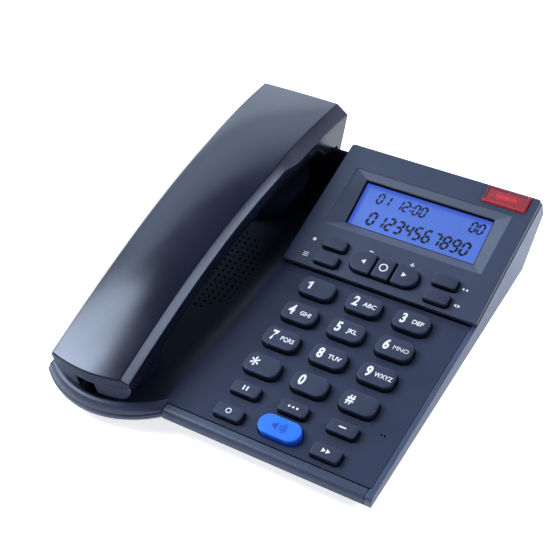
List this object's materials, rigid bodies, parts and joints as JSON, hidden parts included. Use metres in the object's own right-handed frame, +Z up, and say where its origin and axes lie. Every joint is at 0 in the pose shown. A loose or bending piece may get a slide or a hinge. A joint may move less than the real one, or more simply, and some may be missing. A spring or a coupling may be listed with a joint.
{
  "type": "hotel phone",
  "caption": "Corded desk telephone for a hotel room, with a sloping keypad, a tilted display with a message lamp, and a handset on a cradle at the left.",
  "frame": {"origin": "middle of the footprint, on the table under the rubber feet", "axes": "+Z up; the user sits at -Y; +X to the user's right, with the handset at -X"},
  "size_m": [0.174, 0.1928, 0.0859],
  "materials": {
    "case_dark": "satin",
    "case_slate": "satin",
    "key_slate": "satin",
    "key_blue": "satin",
    "window": "clear",
    "lcd": "gloss",
    "white_plastic": "satin",
    "lamp_red": "gloss",
    "circuit_board": "satin",
    "rubber_grey": "matte",
    "rubber_black": "matte",
    "steel": "satin",
    "black_plastic": "satin",
    "magnet": "matte",
    "capsule": "satin",
    "handset_navy": "satin gloss"
  },
  "bodies": {
    "base": {"lower_case": "case_dark", "upper_case": "case_slate", "display_panel": "case_slate", "front_trim": "case_slate", "display_window": "window", "lcd_panel": "lcd", "lcd_backlight": "white_plastic", "message_lamp": "lamp_red", "lamp_led": "white_plastic", "function_board": "circuit_board", "function_membrane": "rubber_grey", "keypad_board": "circuit_board", "keypad_membrane": "rubber_grey", "board_screws": "steel", "main_board": "circuit_board", "line_jack": "black_plastic", "cord_jack": "black_plastic", "speaker_frame": "steel", "speaker_cone": "rubber_grey", "speaker_magnet": "magnet", "hook_spring": "steel", "hook_switch": "black_plastic", "base_microphone": "steel", "ballast_plate": "steel", "case_screws": "steel", "rubber_feet": "rubber_black"},
    "hook": {"hook_plunger": "black_plastic"},
    "handset": {"handset_upper_shell": "handset_navy", "handset_lower_shell": "handset_navy", "receiver_capsule": "capsule", "microphone": "capsule", "handset_jack": "black_plastic", "handset_weight": "steel", "handset_screws": "steel"},
    "key_1": {"key_1": "key_slate"},
    "key_2": {"key_2": "key_slate"},
    "key_3": {"key_3": "key_slate"},
    "key_4": {"key_4": "key_slate"},
    "key_5": {"key_5": "key_slate"},
    "key_6": {"key_6": "key_slate"},
    "key_7": {"key_7": "key_slate"},
    "key_8": {"key_8": "key_slate"},
    "key_9": {"key_9": "key_slate"},
    "key_star": {"key_star": "key_slate"},
    "key_0": {"key_0": "key_slate"},
    "key_hash": {"key_hash": "key_slate"},
    "key_hold": {"key_hold": "key_slate"},
    "key_conference": {"key_conference": "key_slate"},
    "key_release": {"key_release": "key_slate"},
    "key_mute": {"key_mute": "key_slate"},
    "key_redial": {"key_redial": "key_slate"},
    "key_speaker": {"key_speaker": "key_blue"},
    "key_record": {"key_record": "key_slate"},
    "key_memo": {"key_memo": "key_slate"},
    "key_flash": {"key_flash": "key_slate"},
    "key_change": {"key_change": "key_slate"},
    "key_nav_left": {"key_nav_left": "key_slate"},
    "key_nav_ok": {"key_nav_ok": "key_slate"},
    "key_nav_right": {"key_nav_right": "key_slate"}
  },
  "joints": [
    {"name": "handset_lift", "type": "slide", "parent": "base", "child": "handset", "axis": [0, 0, 1], "range_m": [0, 0.12]},
    {"name": "hook_slide", "type": "slide", "parent": "base", "child": "hook", "axis": [0, -0.213, 0.977], "range_m": [0, 0.003]},
    {"name": "key_1_press", "type": "slide", "parent": "base", "child": "key_1", "axis": [0, -0.2588, 0.9659], "range_m": [-0.0012, 0], "stiffness_N_per_m": 500, "springref_m": 0.001},
    {"name": "key_2_press", "type": "slide", "parent": "base", "child": "key_2", "axis": [0, -0.2588, 0.9659], "range_m": [-0.0012, 0], "stiffness_N_per_m": 500, "springref_m": 0.001},
    {"name": "key_3_press", "type": "slide", "parent": "base", "child": "key_3", "axis": [0, -0.2588, 0.9659], "range_m": [-0.0012, 0], "stiffness_N_per_m": 500, "springref_m": 0.001},
    {"name": "key_4_press", "type": "slide", "parent": "base", "child": "key_4", "axis": [0, -0.2588, 0.9659], "range_m": [-0.0012, 0], "stiffness_N_per_m": 500, "springref_m": 0.001},
    {"name": "key_5_press", "type": "slide", "parent": "base", "child": "key_5", "axis": [0, -0.2588, 0.9659], "range_m": [-0.0012, 0], "stiffness_N_per_m": 500, "springref_m": 0.001},
    {"name": "key_6_press", "type": "slide", "parent": "base", "child": "key_6", "axis": [0, -0.2588, 0.9659], "range_m": [-0.0012, 0], "stiffness_N_per_m": 500, "springref_m": 0.001},
    {"name": "key_7_press", "type": "slide", "parent": "base", "child": "key_7", "axis": [0, -0.2588, 0.9659], "range_m": [-0.0012, 0], "stiffness_N_per_m": 500, "springref_m": 0.001},
    {"name": "key_8_press", "type": "slide", "parent": "base", "child": "key_8", "axis": [0, -0.2588, 0.9659], "range_m": [-0.0012, 0], "stiffness_N_per_m": 500, "springref_m": 0.001},
    {"name": "key_9_press", "type": "slide", "parent": "base", "child": "key_9", "axis": [0, -0.2588, 0.9659], "range_m": [-0.0012, 0], "stiffness_N_per_m": 500, "springref_m": 0.001},
    {"name": "key_star_press", "type": "slide", "parent": "base", "child": "key_star", "axis": [0, -0.2588, 0.9659], "range_m": [-0.0012, 0], "stiffness_N_per_m": 500, "springref_m": 0.001},
    {"name": "key_0_press", "type": "slide", "parent": "base", "child": "key_0", "axis": [0, -0.2588, 0.9659], "range_m": [-0.0012, 0], "stiffness_N_per_m": 500, "springref_m": 0.001},
    {"name": "key_hash_press", "type": "slide", "parent": "base", "child": "key_hash", "axis": [0, -0.2588, 0.9659], "range_m": [-0.0012, 0], "stiffness_N_per_m": 500, "springref_m": 0.001},
    {"name": "key_hold_press", "type": "slide", "parent": "base", "child": "key_hold", "axis": [0, -0.2588, 0.9659], "range_m": [-0.0012, 0], "stiffness_N_per_m": 500, "springref_m": 0.001},
    {"name": "key_conference_press", "type": "slide", "parent": "base", "child": "key_conference", "axis": [0, -0.2588, 0.9659], "range_m": [-0.0012, 0], "stiffness_N_per_m": 500, "springref_m": 0.001},
    {"name": "key_release_press", "type": "slide", "parent": "base", "child": "key_release", "axis": [0, -0.2588, 0.9659], "range_m": [-0.0012, 0], "stiffness_N_per_m": 500, "springref_m": 0.001},
    {"name": "key_mute_press", "type": "slide", "parent": "base", "child": "key_mute", "axis": [0, -0.2588, 0.9659], "range_m": [-0.0012, 0], "stiffness_N_per_m": 500, "springref_m": 0.001},
    {"name": "key_redial_press", "type": "slide", "parent": "base", "child": "key_redial", "axis": [0, -0.2588, 0.9659], "range_m": [-0.0012, 0], "stiffness_N_per_m": 500, "springref_m": 0.001},
    {"name": "key_speaker_press", "type": "slide", "parent": "base", "child": "key_speaker", "axis": [0, -0.2588, 0.9659], "range_m": [-0.0012, 0], "stiffness_N_per_m": 500, "springref_m": 0.001},
    {"name": "key_record_press", "type": "slide", "parent": "base", "child": "key_record", "axis": [0, -0.4035, 0.915], "range_m": [-0.0012, 0], "stiffness_N_per_m": 500, "springref_m": 0.001},
    {"name": "key_memo_press", "type": "slide", "parent": "base", "child": "key_memo", "axis": [0, -0.4035, 0.915], "range_m": [-0.0012, 0], "stiffness_N_per_m": 500, "springref_m": 0.001},
    {"name": "key_flash_press", "type": "slide", "parent": "base", "child": "key_flash", "axis": [0, -0.4035, 0.915], "range_m": [-0.0012, 0], "stiffness_N_per_m": 500, "springref_m": 0.001},
    {"name": "key_change_press", "type": "slide", "parent": "base", "child": "key_change", "axis": [0, -0.4035, 0.915], "range_m": [-0.0012, 0], "stiffness_N_per_m": 500, "springref_m": 0.001},
    {"name": "key_nav_left_press", "type": "slide", "parent": "base", "child": "key_nav_left", "axis": [0, -0.4035, 0.915], "range_m": [-0.0012, 0], "stiffness_N_per_m": 500, "springref_m": 0.001},
    {"name": "key_nav_ok_press", "type": "slide", "parent": "base", "child": "key_nav_ok", "axis": [0, -0.4035, 0.915], "range_m": [-0.0012, 0], "stiffness_N_per_m": 500, "springref_m": 0.001},
    {"name": "key_nav_right_press", "type": "slide", "parent": "base", "child": "key_nav_right", "axis": [0, -0.4035, 0.915], "range_m": [-0.0012, 0], "stiffness_N_per_m": 500, "springref_m": 0.001}
  ],
  "couplings": [
    {"joint": "hook_slide", "follows": "handset_lift", "ratio": 0.025}
  ]
}
